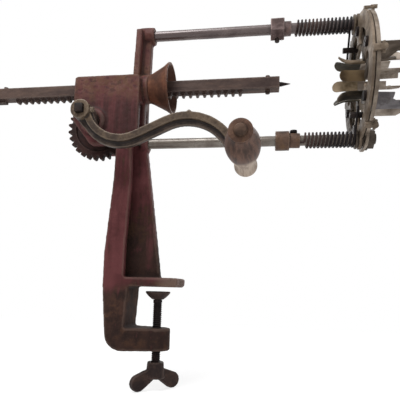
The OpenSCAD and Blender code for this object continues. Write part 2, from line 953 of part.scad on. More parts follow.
module gear_shaft() {
    color(dark)
        translate([gear_x, 0, gear_z])
            rotate([90, 0, 0])
                intersection() {
                    union() {
                        translate([0, 0, -half_depth - 5])
                            cylinder(h = crank_back + half_depth + 5, r = shaft_r);
                        translate([-square / 2, -square / 2, crank_back - 1])
                            cube([square, square, boss_length + 4]);
                    }
                    translate([0, 0, -half_depth - 6])
                        cylinder(h = 3 * crank_face, r = shaft_r);
                }
}

// the middle line of the crank arm: a low arc, a high arc and a straight to the grip
arm_path = concat(
    [for (p = arc(arc1_r, 186, cross_dir + 270, 12)) arc1 + p],
    [for (p = arc(arc2_r, cross_dir + 90, arc2_end, 16)) arc2 + p],
    [eye]
);
rib_path = [for (i = [0:len(arm_path) - 1]) side(arm_path, i, rib_off)];

module crank_arm() {
    color(dark)
        translate([gear_x, 0, gear_z])
            rotate([90, 0, 0])
                difference() {
                    union() {
                        translate([0, 0, strip_z])
                            linear_extrude(arm_thick)
                                ribbon(arm_path, arm_width / 2);
                        translate([0, 0, strip_z + 1])
                            linear_extrude(arm_thick + rib_high - 1)
                                ribbon(rib_path, rib_width / 2);
                        translate([0, 0, crank_back])
                            cylinder(h = boss_length, r = boss_r);
                        translate([0, 0, strip_z])
                            linear_extrude(arm_thick)
                                link([0, 0], shoulder, boss_r - 0.2, arm_width / 2 - 0.2);
                        translate([eye[0], eye[1], strip_z - 1])
                            cylinder(h = arm_thick + 1, r = eye_r);
                    }
                    translate([0, 0, crank_back - 1])
                        linear_extrude(boss_length + 2)
                            intersection() {
                                square(square + 2 * run, center = true);
                                circle(r = shaft_r + run);
                            }
                    translate([eye[0], eye[1], strip_z - 2])
                        cylinder(h = arm_thick + 8, r = spindle_r + run);
                    translate([0, 0, crank_face - 4.5])
                        rotate([0, 90, 0])
                            cylinder(h = 20, r = 2.5 + run);
                    translate([eye[0], eye[1], strip_z + arm_thick])
                        cylinder(h = 20, r = grip_belly + 2);
                }
}

module crank_set_screw() {
    color(steel)
        translate([gear_x, 0, gear_z])
            rotate([90, 0, 0])
                translate([square / 2 + run, 0, crank_face - 4.5])
                    rotate([0, 90, 0])
                        cylinder(h = 9, r = 2.5);
}

module grip_spindle() {
    color(dark)
        translate([gear_x + eye[0], 0, gear_z + eye[1]])
            rotate([90, 0, 0]) {
                translate([0, 0, strip_z - 1])
                    cylinder(h = grip_start + grip_length + 5 - strip_z, r = spindle_r);
                translate([0, 0, strip_z - 3.5])
                    cylinder(h = 2.5, r = 6.5);
                translate([0, 0, grip_start + grip_length + 2.6])
                    cylinder(h = 3.4, r1 = 5.6, r2 = 4);
            }
}

module grip_washer() {
    color(rust)
        translate([gear_x + eye[0], 0, gear_z + eye[1]])
            rotate([90, 0, 0])
                translate([0, 0, grip_start + grip_length + 0.6])
                    difference() {
                        cylinder(h = 2, r = 9.4);
                        translate([0, 0, -1])
                            cylinder(h = 4, r = spindle_r + run);
                    }
}

function ease(a, b, t) = a + (b - a) * (1 - cos(180 * t)) / 2;
function grip_radius(t) =
    t < 0.16 ? ease(11, grip_waist, t / 0.16)
    : t < 0.66 ? ease(grip_waist, grip_belly, (t - 0.16) / 0.5)
    : ease(grip_belly, 9, (t - 0.66) / 0.4);

module crank_grip() {
    color(wood)
        translate([gear_x + eye[0], 0, gear_z + eye[1]])
            rotate([90, 0, 0])
                translate([0, 0, grip_start])
                    rotate_extrude()
                        polygon(concat(
                            [[spindle_r + run, 0]],
                            [for (i = [0:24]) [grip_radius(i / 24), grip_length * i / 24]],
                            [[spindle_r + run, grip_length]]
                        ));
}

module clamp_pad() {
    color(rust)
        translate([0, 0, -pad_gap])
            difference() {
                rotate([180, 0, 0])
                    rotate_extrude()
                        polygon([
                            [0, 0], [pad_r, 0], [pad_r, 1.6], [pad_r - 1.4, 3.4], [pad_r - 4, 6],
                            [neck_back, pad_thick], [0, pad_thick]
                        ]);
                translate([0, 0, -pad_thick - 1])
                    cylinder(h = pad_thick - 2, r = tip_screw_r + run);
            }
}

module clamp_screw() {
    color(dark) {
        translate([0, 0, wing_top - 8.8])
            cylinder(h = 8.8 - wing_top - pad_gap - pad_thick - 0.3, r = screw_r);
        translate([0, 0, -pad_gap - pad_thick - 1])
            cylinder(h = pad_thick - 2.4, r = tip_screw_r);
    }
}

module wing_key() {
    color(rust)
        translate([0, 0, wing_top - hub_length])
            difference() {
                rotate(wing_turn)
                    union() {
                        cylinder(h = hub_length, r1 = hub_r + 1.5, r2 = hub_r);
                        for (s = [-1, 1])
                            slab(-3, 3)
                                link([s * 5, 5], [s * wing_reach, -3], 6, wing_r);
                    }
                translate([0, 0, hub_length - 9])
                    cylinder(h = 12, r = screw_r + run);
            }
}

module knife_arm_1() {
    knife_arm(0);
}

module guide_finger_1() {
    guide_finger(0);
}

module knife_blade_1() {
    knife_blade(0);
}

module knife_arm_2() {
    knife_arm(1);
}

module guide_finger_2() {
    guide_finger(1);
}

module knife_blade_2() {
    knife_blade(1);
}

module knife_arm_3() {
    knife_arm(2);
}

module guide_finger_3() {
    guide_finger(2);
}

module knife_blade_3() {
    knife_blade(2);
}

module knife_arm_4() {
    knife_arm(3);
}

module guide_finger_4() {
    guide_finger(3);
}

module knife_blade_4() {
    knife_blade(3);
}

module knife_arm_5() {
    knife_arm(4);
}

module guide_finger_5() {
    guide_finger(4);
}

module knife_blade_5() {
    knife_blade(4);
}

module knife_arm_6() {
    knife_arm(5);
}

module guide_finger_6() {
    guide_finger(5);
}

module knife_blade_6() {
    knife_blade(5);
}

frame_casting();
cob_cup();
top_rod();
bottom_rod();
top_collar();
bottom_collar();
top_set_screw();
bottom_set_screw();
top_spring();
bottom_spring();
top_flange();
bottom_flange();
head_plate();
pivot_screws();
top_sleeve();
bottom_sleeve();
top_nut();
bottom_nut();
ring_clips();
cam_ring();
top_post();
bottom_post();
knife_arm_1();
knife_arm_2();
knife_arm_3();
knife_arm_4();
knife_arm_5();
knife_arm_6();
guide_finger_1();
guide_finger_2();
guide_finger_3();
guide_finger_4();
guide_finger_5();
guide_finger_6();
knife_blade_1();
knife_blade_2();
knife_blade_3();
knife_blade_4();
knife_blade_5();
knife_blade_6();
top_spring_arm();
bottom_spring_arm();
rack_bar();
cob_spike();
front_stop_pin();
rear_stop_pin();
drive_gear();
gear_shaft();
crank_arm();
crank_set_screw();
grip_spindle();
grip_washer();
crank_grip();
clamp_pad();
clamp_screw();
wing_key();
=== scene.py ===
import json
import math

import bmesh
import bpy
import numpy as np
from mathutils import Matrix, Vector, noise

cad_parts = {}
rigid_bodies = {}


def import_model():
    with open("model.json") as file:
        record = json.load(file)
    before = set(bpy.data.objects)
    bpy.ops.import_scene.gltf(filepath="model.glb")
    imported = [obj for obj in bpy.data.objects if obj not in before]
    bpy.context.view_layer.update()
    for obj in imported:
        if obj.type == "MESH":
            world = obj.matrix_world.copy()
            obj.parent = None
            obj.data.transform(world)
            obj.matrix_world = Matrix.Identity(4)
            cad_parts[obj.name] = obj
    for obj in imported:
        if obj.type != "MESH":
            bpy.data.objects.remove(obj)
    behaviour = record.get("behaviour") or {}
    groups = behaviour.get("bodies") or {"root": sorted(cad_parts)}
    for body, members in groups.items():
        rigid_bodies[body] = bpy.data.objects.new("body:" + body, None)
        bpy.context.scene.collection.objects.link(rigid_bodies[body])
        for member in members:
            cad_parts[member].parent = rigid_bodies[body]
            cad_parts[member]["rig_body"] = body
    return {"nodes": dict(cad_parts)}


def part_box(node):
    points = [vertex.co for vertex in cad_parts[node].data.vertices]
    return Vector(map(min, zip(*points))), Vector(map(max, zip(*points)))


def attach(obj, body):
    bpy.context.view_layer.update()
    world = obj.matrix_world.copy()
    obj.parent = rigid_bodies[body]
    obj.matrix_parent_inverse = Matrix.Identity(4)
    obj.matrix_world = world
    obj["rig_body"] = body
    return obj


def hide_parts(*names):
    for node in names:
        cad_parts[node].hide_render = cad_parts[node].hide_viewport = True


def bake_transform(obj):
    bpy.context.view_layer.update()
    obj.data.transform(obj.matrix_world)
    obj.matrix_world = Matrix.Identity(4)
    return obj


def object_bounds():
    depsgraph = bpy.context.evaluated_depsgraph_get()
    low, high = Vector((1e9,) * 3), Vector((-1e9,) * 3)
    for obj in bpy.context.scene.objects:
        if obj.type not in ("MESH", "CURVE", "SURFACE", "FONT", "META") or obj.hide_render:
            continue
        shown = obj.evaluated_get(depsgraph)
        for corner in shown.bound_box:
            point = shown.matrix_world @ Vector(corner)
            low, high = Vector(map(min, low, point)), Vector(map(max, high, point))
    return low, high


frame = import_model()
cadBox = [list(corner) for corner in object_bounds()]
nodes = frame["nodes"]
scene = bpy.context.scene
mm = 0.001
print("frame loaded:", len(nodes), "nodes")


def tint(red, green, blue):
    # a colour as it looks on screen, turned into light
    def light(level):
        share = level / 255
        return share / 12.92 if share < 0.04045 else ((share + 0.055) / 1.055) ** 2.4
    return (light(red), light(green), light(blue), 1.0)


def newPiece(name, mesh):
    piece = bpy.data.objects.new(name, mesh)
    scene.collection.objects.link(piece)
    return piece


def evaluated(holder):
    # the holder's mesh with its modifiers applied
    graph = bpy.context.evaluated_depsgraph_get()
    return bpy.data.meshes.new_from_object(holder.evaluated_get(graph))


class Wire:
    # wraps a socket, so that sums on values read as plain expressions
    def __init__(self, sheet, socket):
        self.sheet = sheet
        self.socket = socket

    def maths(self, operation, *values):
        return self.sheet.add("ShaderNodeMath", {"operation": operation}, dict(enumerate(values)))

    def __add__(self, other):
        return self.maths("ADD", self, other)

    def __radd__(self, other):
        return self.maths("ADD", other, self)

    def __sub__(self, other):
        return self.maths("SUBTRACT", self, other)

    def __rsub__(self, other):
        return self.maths("SUBTRACT", other, self)

    def __mul__(self, other):
        return self.maths("MULTIPLY", self, other)

    def __rmul__(self, other):
        return self.maths("MULTIPLY", other, self)

    def __truediv__(self, other):
        return self.maths("DIVIDE", self, other)

    def __rtruediv__(self, other):
        return self.maths("DIVIDE", other, self)

    def larger(self, other):
        return self.maths("MAXIMUM", self, other)

    def smaller(self, other):
        return self.maths("MINIMUM", self, other)

    def above(self, other):
        return self.maths("GREATER_THAN", self, other)

    def below(self, other):
        return self.maths("LESS_THAN", self, other)

    def size(self):
        return self.maths("ABSOLUTE", self)

    def fraction(self):
        return self.maths("FRACT", self)

    def angle(self, other):
        return self.maths("ARCTAN2", self, other)


class Sheet:
    # a node tree and the one way to add a node to it, where a list fills a socket that takes many links
    def __init__(self, tree):
        self.tree = tree
        tree.nodes.clear()

    def add(self, kind, settings=None, inputs=None, out=0):
        node = self.tree.nodes.new(kind)
        for name, value in (settings or {}).items():
            setattr(node, name, value)
        for name, given in (inputs or {}).items():
            for value in given if isinstance(given, list) else [given]:
                if isinstance(value, Wire):
                    self.tree.links.new(value.socket, node.inputs[name])
                else:
                    node.inputs[name].default_value = value
        return Wire(self, node.outputs[out]) if len(node.outputs) else None


class Finish(Sheet):
    # a surface finish, patterned in the object's own metres
    def __init__(self, name):
        self.material = bpy.data.materials.new(name)
        self.material.use_nodes = True
        super().__init__(self.material.node_tree)
        self.place = self.add("ShaderNodeTexCoord", out="Object")

    def noise(self, scale, detail=4.0, rough=0.55, stretch=None, warp=0.0):
        place = self.place
        if stretch:
            place = self.add("ShaderNodeMapping", inputs={"Vector": place, "Scale": stretch})
        sockets = {
            "Vector": place, "Scale": scale, "Detail": detail, "Roughness": rough, "Distortion": warp,
        }
        return self.add("ShaderNodeTexNoise", inputs=sockets)

    def mask(self, value, low, high):
        sockets = {"Value": value, "From Min": low, "From Max": high}
        return self.add("ShaderNodeMapRange", {"interpolation_type": "SMOOTHSTEP"}, sockets)

    def between(self, value, rise, fall):
        # rises over the first pair of levels and falls over the second
        return self.mask(value, *rise) * (1 - self.mask(value, *fall))

    def mix(self, factor, first, second):
        return self.add("ShaderNodeMix", {"data_type": "RGBA"}, {0: factor, 6: first, 7: second}, out=2)

    def along(self, axis):
        return self.add("ShaderNodeSeparateXYZ", inputs={0: self.place}, out=axis)

    def edge(self):
        # the piece's own measure: above zero at corners, below zero in hollows
        return self.add("ShaderNodeAttribute", {"attribute_name": "edge"}, out="Fac")

    def corners(self, sway, low, high):
        # worn corners, made uneven by a noise
        return self.mask(self.edge() + sway - 0.1, low, high)

    # marks hollows; the finishes darken them there as painted shade
    def shadeInHollows(self, low, high):
        return self.mask(0 - self.edge(), low, high)

    def faded(self, colour, look, sway):
        # where the look asks for it, another tone takes over along one axis
        if "fade" not in look:
            return colour
        axis, low, high, tone = look["fade"]
        return self.mix(self.mask(self.along(axis) + sway, low, high), colour, tone)

    def close(self, sockets, height, bump, depth):
        relief = {"Height": height, "Strength": bump, "Distance": depth}
        sockets["Normal"] = self.add("ShaderNodeBump", inputs=relief)
        shader = self.add("ShaderNodeBsdfPrincipled", inputs=sockets)
        self.add("ShaderNodeOutputMaterial", inputs={"Surface": shader})
        return self.material


class Rule(Sheet):
    # a geometry tree with named sizes, which makes one plain mesh at a time
    def __init__(self, name, sizes):
        super().__init__(bpy.data.node_groups.new(name, "GeometryNodeTree"))
        face = self.tree.interface
        face.new_socket("Geometry", in_out="INPUT", socket_type="NodeSocketGeometry")
        face.new_socket("Geometry", in_out="OUTPUT", socket_type="NodeSocketGeometry")
        self.marks = {}
        for title, value in sizes.items():
            kind = "NodeSocketInt" if isinstance(value, int) else "NodeSocketFloat"
            socket = face.new_socket(title, in_out="INPUT", socket_type=kind)
            socket.default_value = value
            self.marks[title] = socket.identifier

    def take(self, title):
        return self.add("NodeGroupInput", out=title)

    def point(self, x, y, z):
        return self.add("ShaderNodeCombineXYZ", inputs={0: x, 1: y, 2: z})

    def tube(self, path, radius, sides):
        sizes = {"Resolution": sides, "Radius": radius}
        ring = self.add("GeometryNodeCurvePrimitiveCircle", inputs=sizes)
        sweep = {"Curve": path, "Profile Curve": ring, "Fill Caps": True}
        return self.add("GeometryNodeCurveToMesh", inputs=sweep)

    def close(self, shape, finish):
        shape = self.add("GeometryNodeRealizeInstances", inputs={"Geometry": shape})
        shape = self.add("GeometryNodeSetShadeSmooth", inputs={"Geometry": shape})
        shape = self.add("GeometryNodeSetMaterial", inputs={"Geometry": shape, "Material": finish})
        self.add("NodeGroupOutput", inputs={"Geometry": shape})

    def make(self, name, sizes, points=()):
        start = bpy.data.meshes.new(name + "_path")
        start.from_pydata(points, [(step, step + 1) for step in range(len(points) - 1)], [])
        holder = newPiece(name + "_holder", start)
        modifier = holder.modifiers.new("rule", "NODES")
        modifier.node_group = self.tree
        for title, value in sizes.items():
            modifier[self.marks[title]] = value
        mesh = evaluated(holder)
        bpy.data.objects.remove(holder)
        mesh.name = name
        return mesh


# camera, light and floor
cameraLook = {
    "place": (0.1106, -0.4468, 0.0005),
    "right": (0.9889, 0.1458, 0.0272),
    "up": (-0.0106, -0.1132, 0.9935),
    "lens": 38.607,
    "sensor": 36.0,
    "shiftUp": 0.1,
    "near": 0.01,
}


def makeCamera(look):
    right = Vector(look["right"]).normalized()
    back = right.cross(Vector(look["up"])).normalized()
    data = bpy.data.cameras.new("studioCamera")
    data.lens = look["lens"]
    data.sensor_width = look["sensor"]
    data.shift_y = look["shiftUp"]
    data.clip_start = look["near"]
    camera = bpy.data.objects.new("studioCamera", data)
    turn = Matrix((right, back.cross(right), back)).transposed()
    camera.matrix_world = Matrix.Translation(look["place"]) @ turn.to_4x4()
    scene.collection.objects.link(camera)
    scene.camera = camera


white = (1, 1, 1, 1)
stageLook = {
    "airLight": 0.28,
    "floorGlow": 0.6,
    "floorWhite": 1.28,
    "floorTone": (0.9, 0.9, 0.9, 1),
    "floorSpan": 1.5,
    "floorDrop": 0.2,
    "lamps": [
        {"name": "overheadLamp", "place": (-0.35, -0.65, 1.2), "size": 0.8, "power": 14.5},
        {"name": "sideLamp", "place": (0.95, -0.7, 0.55), "size": 0.7, "power": 2.4},
        {"name": "backLamp", "place": (0.2, 0.95, 0.8), "size": 1.2, "power": 5.5},
    ],
    "aim": (0.06, 0.0, 0.12),
}


def seenRays(sheet):
    # one where a ray from the eye, a reflection or glass looks at the surroundings
    camera, glossy, through = [
        sheet.add("ShaderNodeLightPath", out=name)
        for name in ("Is Camera Ray", "Is Glossy Ray", "Is Transmission Ray")
    ]
    return camera.larger(glossy).larger(through)


def makeAir(look):
    scene.view_settings.view_transform = "Standard"
    world = bpy.data.worlds.new("studioAir")
    world.use_nodes = True
    scene.world = world
    air = Sheet(world.node_tree)
    lit = air.add("ShaderNodeBackground", inputs={"Color": white, "Strength": look["airLight"]})
    shown = air.add("ShaderNodeBackground", inputs={"Color": white, "Strength": 1.0})
    both = air.add("ShaderNodeMixShader", inputs={0: seenRays(air), 1: lit, 2: shown})
    air.add("ShaderNodeOutputWorld", inputs={"Surface": both})


def makeFloor(look):
    half = look["floorSpan"] / 2
    mesh = bpy.data.meshes.new("studioFloor")
    low = cadBox[0][2] - look["floorDrop"] * mm
    corners = [(x * half, y * half, low) for x, y in ((-1, -1), (1, -1), (1, 1), (-1, 1))]
    mesh.from_pydata(corners, [], [(0, 1, 2, 3)])
    floor = newPiece("studioFloor", mesh)
    paper = Finish("floorPaper")
    matt = paper.add("ShaderNodeBsdfDiffuse", inputs={"Color": look["floorTone"]})
    glow = paper.add("ShaderNodeEmission", inputs={"Color": white, "Strength": look["floorWhite"]})
    share = seenRays(paper) * look["floorGlow"]
    blend = paper.add("ShaderNodeMixShader", inputs={0: share, 1: matt, 2: glow})
    paper.add("ShaderNodeOutputMaterial", inputs={"Surface": blend})
    mesh.materials.append(paper.material)


def makeLamps(look):
    for lamp in look["lamps"]:
        data = bpy.data.lights.new(lamp["name"], "AREA")
        data.shape = "DISK"
        data.size = lamp["size"]
        data.energy = lamp["power"]
        light = bpy.data.objects.new(lamp["name"], data)
        light.location = lamp["place"]
        way = Vector(look["aim"]) - light.location
        light.rotation_euler = way.to_track_quat("-Z", "Y").to_euler()
        scene.collection.objects.link(light)


makeCamera(cameraLook)
makeAir(stageLook)
makeFloor(stageLook)
makeLamps(stageLook)
print("camera, floor and lamps are set")

# painted casting: red left on the post, dusty on the housing, bare and brown at the foot
paintLook = {
    "red": tint(97, 54, 55),
    "deepRed": tint(74, 38, 39),
    "dusty": tint(122, 90, 76),
    "brown": tint(66, 46, 39),
    "dark": tint(42, 30, 27),
    "ochre": tint(92, 64, 45),
    "bare": tint(122, 103, 93),
    # each zone fades in or out between two heights, or two places across or in depth
    "houseLow": (0.194, 0.214),
    "houseHigh": (0.243, 0.255),
    "underHousingLow": (0.145, 0.172),
    "footHigh": (-0.024, 0.028),
    "armDown": (0.028, 0.052),
    "webDepth": (0.006, 0.013),
    "webAcross": (-0.0468, -0.0445),
    "webLow": (-0.048, -0.040),
    "webHigh": (0.135, 0.155),
    "webPale": (0.03, 0.115),
    "jawLow": (-0.003, -0.001),
    "jawHigh": (0.011, 0.014),
    "jawAcross": (-0.046, -0.036),
    "jawTip": (-0.002, 0.016),
}


def paintedIron(look):
    finish = Finish("paintedIron")
    broad = finish.noise(26.0, detail=6.0, rough=0.6, warp=0.7)
    middle = finish.noise(110.0, detail=6.0, rough=0.62)
    fine = finish.noise(650.0, detail=4.0, rough=0.6)
    drips = finish.noise(130.0, detail=5.0, rough=0.6, stretch=(1.0, 1.0, 0.09), warp=0.2)
    mottle = finish.noise(210.0, detail=3.0, rough=0.55, stretch=(0.8, 1.0, 1.3), warp=0.4)
    across, deep, high = [finish.along(axis) for axis in range(3)]
    house = finish.mask(high + broad * 0.03 - 0.015, *look["houseLow"])
    # darker in streaks just below the housing
    underHousing = finish.mask(high, *look["underHousingLow"]) * (1 - house)
    house = house * (1 - finish.mask(high, *look["houseHigh"]) * 0.55)
    foot = 1 - finish.mask(high + drips * 0.06 + middle * 0.03 - 0.045, *look["footHigh"])
    arm = finish.mask(0 - high, *look["armDown"])
    # the post's recessed web: painted shade in the recess, weaker higher up, with a little more rust
    web = finish.between(high, look["webLow"], look["webHigh"]) * finish.mask(across, *look["webAcross"])
    web = web * (1 - finish.mask(deep.size(), *look["webDepth"]))
    web = web * (1.2 - finish.mask(high, *look["webPale"]))
    jaw = finish.between(high, look["jawLow"], look["jawHigh"])
    tip = finish.mask(across, *look["jawTip"]) * jaw
    jaw = finish.mask(across, *look["jawAcross"]) * jaw

    paint = finish.mix(finish.mask(broad * 0.6 + drips * 0.4, 0.40, 0.62), look["red"], look["deepRed"])
    paint = finish.mix(jaw * 0.7, paint, look["deepRed"])
    rust = finish.mix(finish.mask(middle * 0.7 + drips * 0.3, 0.36, 0.62), look["dark"], look["brown"])
    rust = finish.mix(finish.mask(broad * 0.6 + middle * 0.4, 0.50, 0.62) * 0.5, rust, look["ochre"])
    wear = broad * 0.35 + middle * 0.2 + drips * 0.45 + foot * 0.2 + web * 0.12 + house * 0.04
    worn = finish.mask(wear, 0.54, 0.64)
    colour = finish.mix(worn, paint, rust)
    # painted shade in the recessed web, and dark streaks just below the housing
    colour = finish.mix(web * 0.4 + underHousing * finish.mask(drips, 0.3, 0.6) * 0.6, colour, look["dark"])
    dust = finish.mask(middle * 0.6 + drips * 0.4, 0.36, 0.60)
    colour = finish.mix(house * dust * 0.65, colour, look["dusty"])
    colour = finish.mix(house * finish.mask(mottle, 0.46, 0.58) * 0.5, colour, look["ochre"])
    colour = finish.mix(house * (1 - finish.mask(mottle, 0.36, 0.46)) * 0.45, colour, look["dark"])
    colour = finish.mix(tip * finish.mask(middle, 0.3, 0.5) * 0.55, colour, look["bare"])
    colour = finish.mix(arm * 0.4, colour, look["dark"])
    colour = finish.mix(finish.corners(middle * 0.35, 0.18, 0.45) * 0.22, colour, look["bare"])
    # painted shade in the hollows
    colour = finish.mix(finish.shadeInHollows(0.05, 0.35) * 0.65, colour, look["dark"])
    colour = finish.mix(finish.mask(fine, 0.62, 0.72) * 0.12, colour, look["bare"])
    rough = 0.52 + worn * 0.2 + middle * 0.12
    relief = fine * 0.35 + middle * 0.65 - worn * 0.15
    sockets = {"Base Color": colour, "Roughness": rough, "Specular IOR Level": 0.12}
    return finish.close(sockets, relief, bump=0.5, depth=0.0006)


def rustyIron(name, look):
    finish = Finish(name)
    broad = finish.noise(look["patch"], detail=6.0, rough=0.62, stretch=look.get("stretch"), warp=0.4)
    middle = finish.noise(130.0, detail=6.0, rough=0.65, stretch=look.get("stretch"))
    fine = finish.noise(900.0, detail=4.0, rough=0.6)
    colour = finish.mix(finish.mask(broad, 0.36, 0.64), look["dark"], look["brown"])
    bloom = finish.mask(middle * 0.7 + broad * 0.3, 0.5, 0.66)
    colour = finish.mix(bloom * look["bloomShare"], colour, look["bloom"])
    colour = finish.faded(colour, look, middle * 0.004 - 0.002)
    rub = finish.corners(middle * 0.35, 0.14, 0.40)
    colour = finish.mix(rub * look.get("rub", 0.3), colour, look["worn"])
    # painted shade in the hollows, and inside the cup
    colour = finish.mix(finish.shadeInHollows(0.05, 0.3) * 0.65, colour, look["dark"])
    colour = finish.mix(finish.mask(fine, 0.6, 0.72) * 0.3, colour, look["dark"])
    rough = look["rough"] + middle * 0.2 - rub * 0.15
    relief = fine * 0.4 + middle * 0.6
    sockets = {
        "Base Color": colour, "Roughness": rough, "Metallic": look["metal"], "Specular IOR Level": 0.15,
    }
    return finish.close(sockets, relief, look["bump"], depth=0.0005)


def stainedSteel(name, look):
    finish = Finish(name)
    streak = finish.noise(look["streak"], detail=5.0, rough=0.6, stretch=look["stretch"])
    broad = finish.noise(look["patch"], detail=5.0, rough=0.6, warp=0.5)
    fine = finish.noise(1100.0, detail=3.0, rough=0.6, stretch=look["stretch"])
    colour = finish.mix(finish.mask(streak, 0.36, 0.66), look["dull"], look["bright"])
    stain = finish.mask(broad * 0.7 + streak * 0.3, 0.44, 0.60)
    colour = finish.mix(stain * look["stainShare"], colour, look["stain"])
    colour = finish.faded(colour, look, broad * 0.03 - 0.015)
    rub = finish.corners(streak * 0.3, 0.14, 0.4)
    colour = finish.mix(rub * 0.4, colour, look["bright"])
    colour = finish.mix(finish.mask(fine, 0.58, 0.70) * 0.35, colour, look["stain"])
    rough = look["rough"] + stain * 0.22 - rub * 0.08 + fine * 0.08
    metal = look["metal"] - stain * look["metal"] * 0.5
    relief = fine * 0.5 + broad * 0.5
    sockets = {
        "Base Color": colour, "Roughness": rough, "Metallic": metal, "Specular IOR Level": look["shine"],
    }
    return finish.close(sockets, relief, look["bump"], depth=0.0003)


# crank: an olive rib over a grey strip, with painted shade in its hollows
crankLook = {
    "rib": tint(98, 82, 66), "ribDark": tint(56, 44, 36), "ribNear": (0.0492, 0.0512),
    "strip": tint(76, 64, 58), "stripDark": tint(38, 31, 29), "worn": tint(126, 111, 96),
    "hollowShade": tint(34, 28, 27),
}


def crankIron(look):
    finish = Finish("crankIron")
    broad = finish.noise(42.0, detail=6.0, rough=0.62, warp=0.5)
    middle = finish.noise(170.0, detail=6.0, rough=0.65)
    fine = finish.noise(900.0, detail=4.0, rough=0.6)
    near = finish.mask(0 - finish.along(1), *look["ribNear"])
    patch = finish.mask(broad * 0.6 + middle * 0.4, 0.38, 0.62)
    strip = finish.mix(patch, look["stripDark"], look["strip"])
    rib = finish.mix(patch, look["ribDark"], look["rib"])
    colour = finish.mix(near, strip, rib)
    rub = finish.corners(middle * 0.35, 0.10, 0.40)
    colour = finish.mix(rub * 0.45, colour, look["worn"])
    # painted shade in the hollows, such as under the rib
    colour = finish.mix(finish.shadeInHollows(0.03, 0.22) * 0.85, colour, look["hollowShade"])
    colour = finish.mix(finish.mask(fine, 0.6, 0.72) * 0.3, colour, look["ribDark"])
    rough = 0.42 + middle * 0.18 - rub * 0.1
    sockets = {"Base Color": colour, "Roughness": rough, "Metallic": 0.2, "Specular IOR Level": 0.25}
    return finish.close(sockets, fine * 0.35 + middle * 0.65, bump=0.35, depth=0.0005)


# grip: dry and pale by the crank, dark and greasy towards its outer end
woodLook = {
    "grain": 300.0, "dark": tint(56, 38, 30), "mid": tint(102, 74, 61), "grey": tint(138, 120, 107),
    "pale": tint(184, 167, 151), "heldNear": (0.084, 0.116),
}


def weatheredWood(look):
    finish = Finish("weatheredWood")
    grain = finish.noise(look["grain"], detail=6.0, rough=0.65, stretch=(1.0, 0.06, 1.0), warp=0.3)
    patch = finish.noise(60.0, detail=5.0, rough=0.6, stretch=(1.0, 0.5, 1.0), warp=0.6)
    pores = finish.noise(1500.0, detail=3.0, rough=0.6, stretch=(1.0, 0.05, 1.0))
    near = finish.mask(0 - finish.along(1), *look["heldNear"])
    handled = finish.mask(near * 0.6 + patch * 0.5, 0.36, 0.72)
    fresh = finish.mix(finish.mask(grain, 0.30, 0.62), look["grey"], look["pale"])
    greasy = finish.mix(finish.mask(grain, 0.34, 0.66), look["dark"], look["mid"])
    colour = finish.mix(handled, fresh, greasy)
    colour = finish.mix(finish.mask(pores, 0.6, 0.7) * 0.5, colour, look["dark"])
    rough = 0.62 - handled * 0.14 + grain * 0.1
    sockets = {"Base Color": colour, "Roughness": rough, "Specular IOR Level": 0.18}
    return finish.close(sockets, grain * 0.6 + pores * 0.4, bump=0.35, depth=0.0004)


# rusty pieces: a fade gives an axis, two places along it and the tone beyond them
gearLook = {
    "patch": 40.0, "dark": tint(36, 23, 21), "brown": tint(57, 35, 32), "bloom": tint(68, 45, 37),
    "bloomShare": 0.4, "worn": tint(76, 58, 52), "rough": 0.55, "metal": 0.0, "bump": 0.4,
}
cupLook = {
    "patch": 38.0, "dark": tint(72, 47, 37), "brown": tint(115, 74, 57), "bloom": tint(132, 88, 62),
    "bloomShare": 0.5, "worn": tint(112, 90, 80), "rough": 0.55, "metal": 0.05, "bump": 0.4, "rub": 0.12,
}
rackLook = {
    "patch": 30.0, "stretch": (0.35, 1.6, 1.6), "dark": tint(58, 45, 42), "brown": tint(90, 73, 66),
    "bloom": tint(106, 84, 72), "bloomShare": 0.5, "worn": tint(128, 112, 104), "rough": 0.46,
    "metal": 0.1, "bump": 0.35, "fade": (2, 0.2130, 0.2118, tint(56, 42, 37)),
}
clampLook = {
    "patch": 45.0, "dark": tint(38, 29, 28), "brown": tint(68, 53, 48), "bloom": tint(84, 62, 50),
    "bloomShare": 0.35, "worn": tint(92, 78, 72), "rough": 0.55, "metal": 0.05, "bump": 0.4,
}
screwLook = {
    "patch": 60.0, "dark": tint(26, 20, 20), "brown": tint(44, 33, 32), "bloom": tint(58, 44, 39),
    "bloomShare": 0.35, "worn": tint(74, 62, 57), "rough": 0.5, "metal": 0.2, "bump": 0.3,
}
collarLook = {
    "patch": 60.0, "dark": tint(76, 62, 60), "brown": tint(124, 106, 104), "bloom": tint(122, 94, 80),
    "bloomShare": 0.4, "worn": tint(166, 146, 142), "rough": 0.36, "metal": 0.3, "bump": 0.35,
}
lowCollarLook = {
    "patch": 60.0, "dark": tint(60, 46, 38), "brown": tint(98, 77, 65), "bloom": tint(114, 86, 60),
    "bloomShare": 0.5, "worn": tint(132, 112, 98), "rough": 0.4, "metal": 0.2, "bump": 0.35,
}
washerLook = {
    "patch": 60.0, "dark": tint(74, 54, 45), "brown": tint(112, 86, 72), "bloom": tint(130, 97, 74),
    "bloomShare": 0.4, "worn": tint(116, 98, 86), "rough": 0.5, "metal": 0.1, "bump": 0.35,
}
springLook = {
    "patch": 70.0, "dark": tint(40, 31, 30), "brown": tint(72, 55, 51), "bloom": tint(88, 66, 58),
    "bloomShare": 0.4, "worn": tint(96, 84, 80), "rough": 0.40, "metal": 0.15, "bump": 0.25,
    "fade": (0, 0.155, 0.185, tint(33, 28, 29)),
}
blackLook = {
    "patch": 70.0, "dark": tint(26, 22, 22), "brown": tint(50, 41, 38), "bloom": tint(66, 52, 46),
    "bloomShare": 0.3, "worn": tint(104, 94, 88), "rough": 0.42, "metal": 0.3, "bump": 0.25,
}

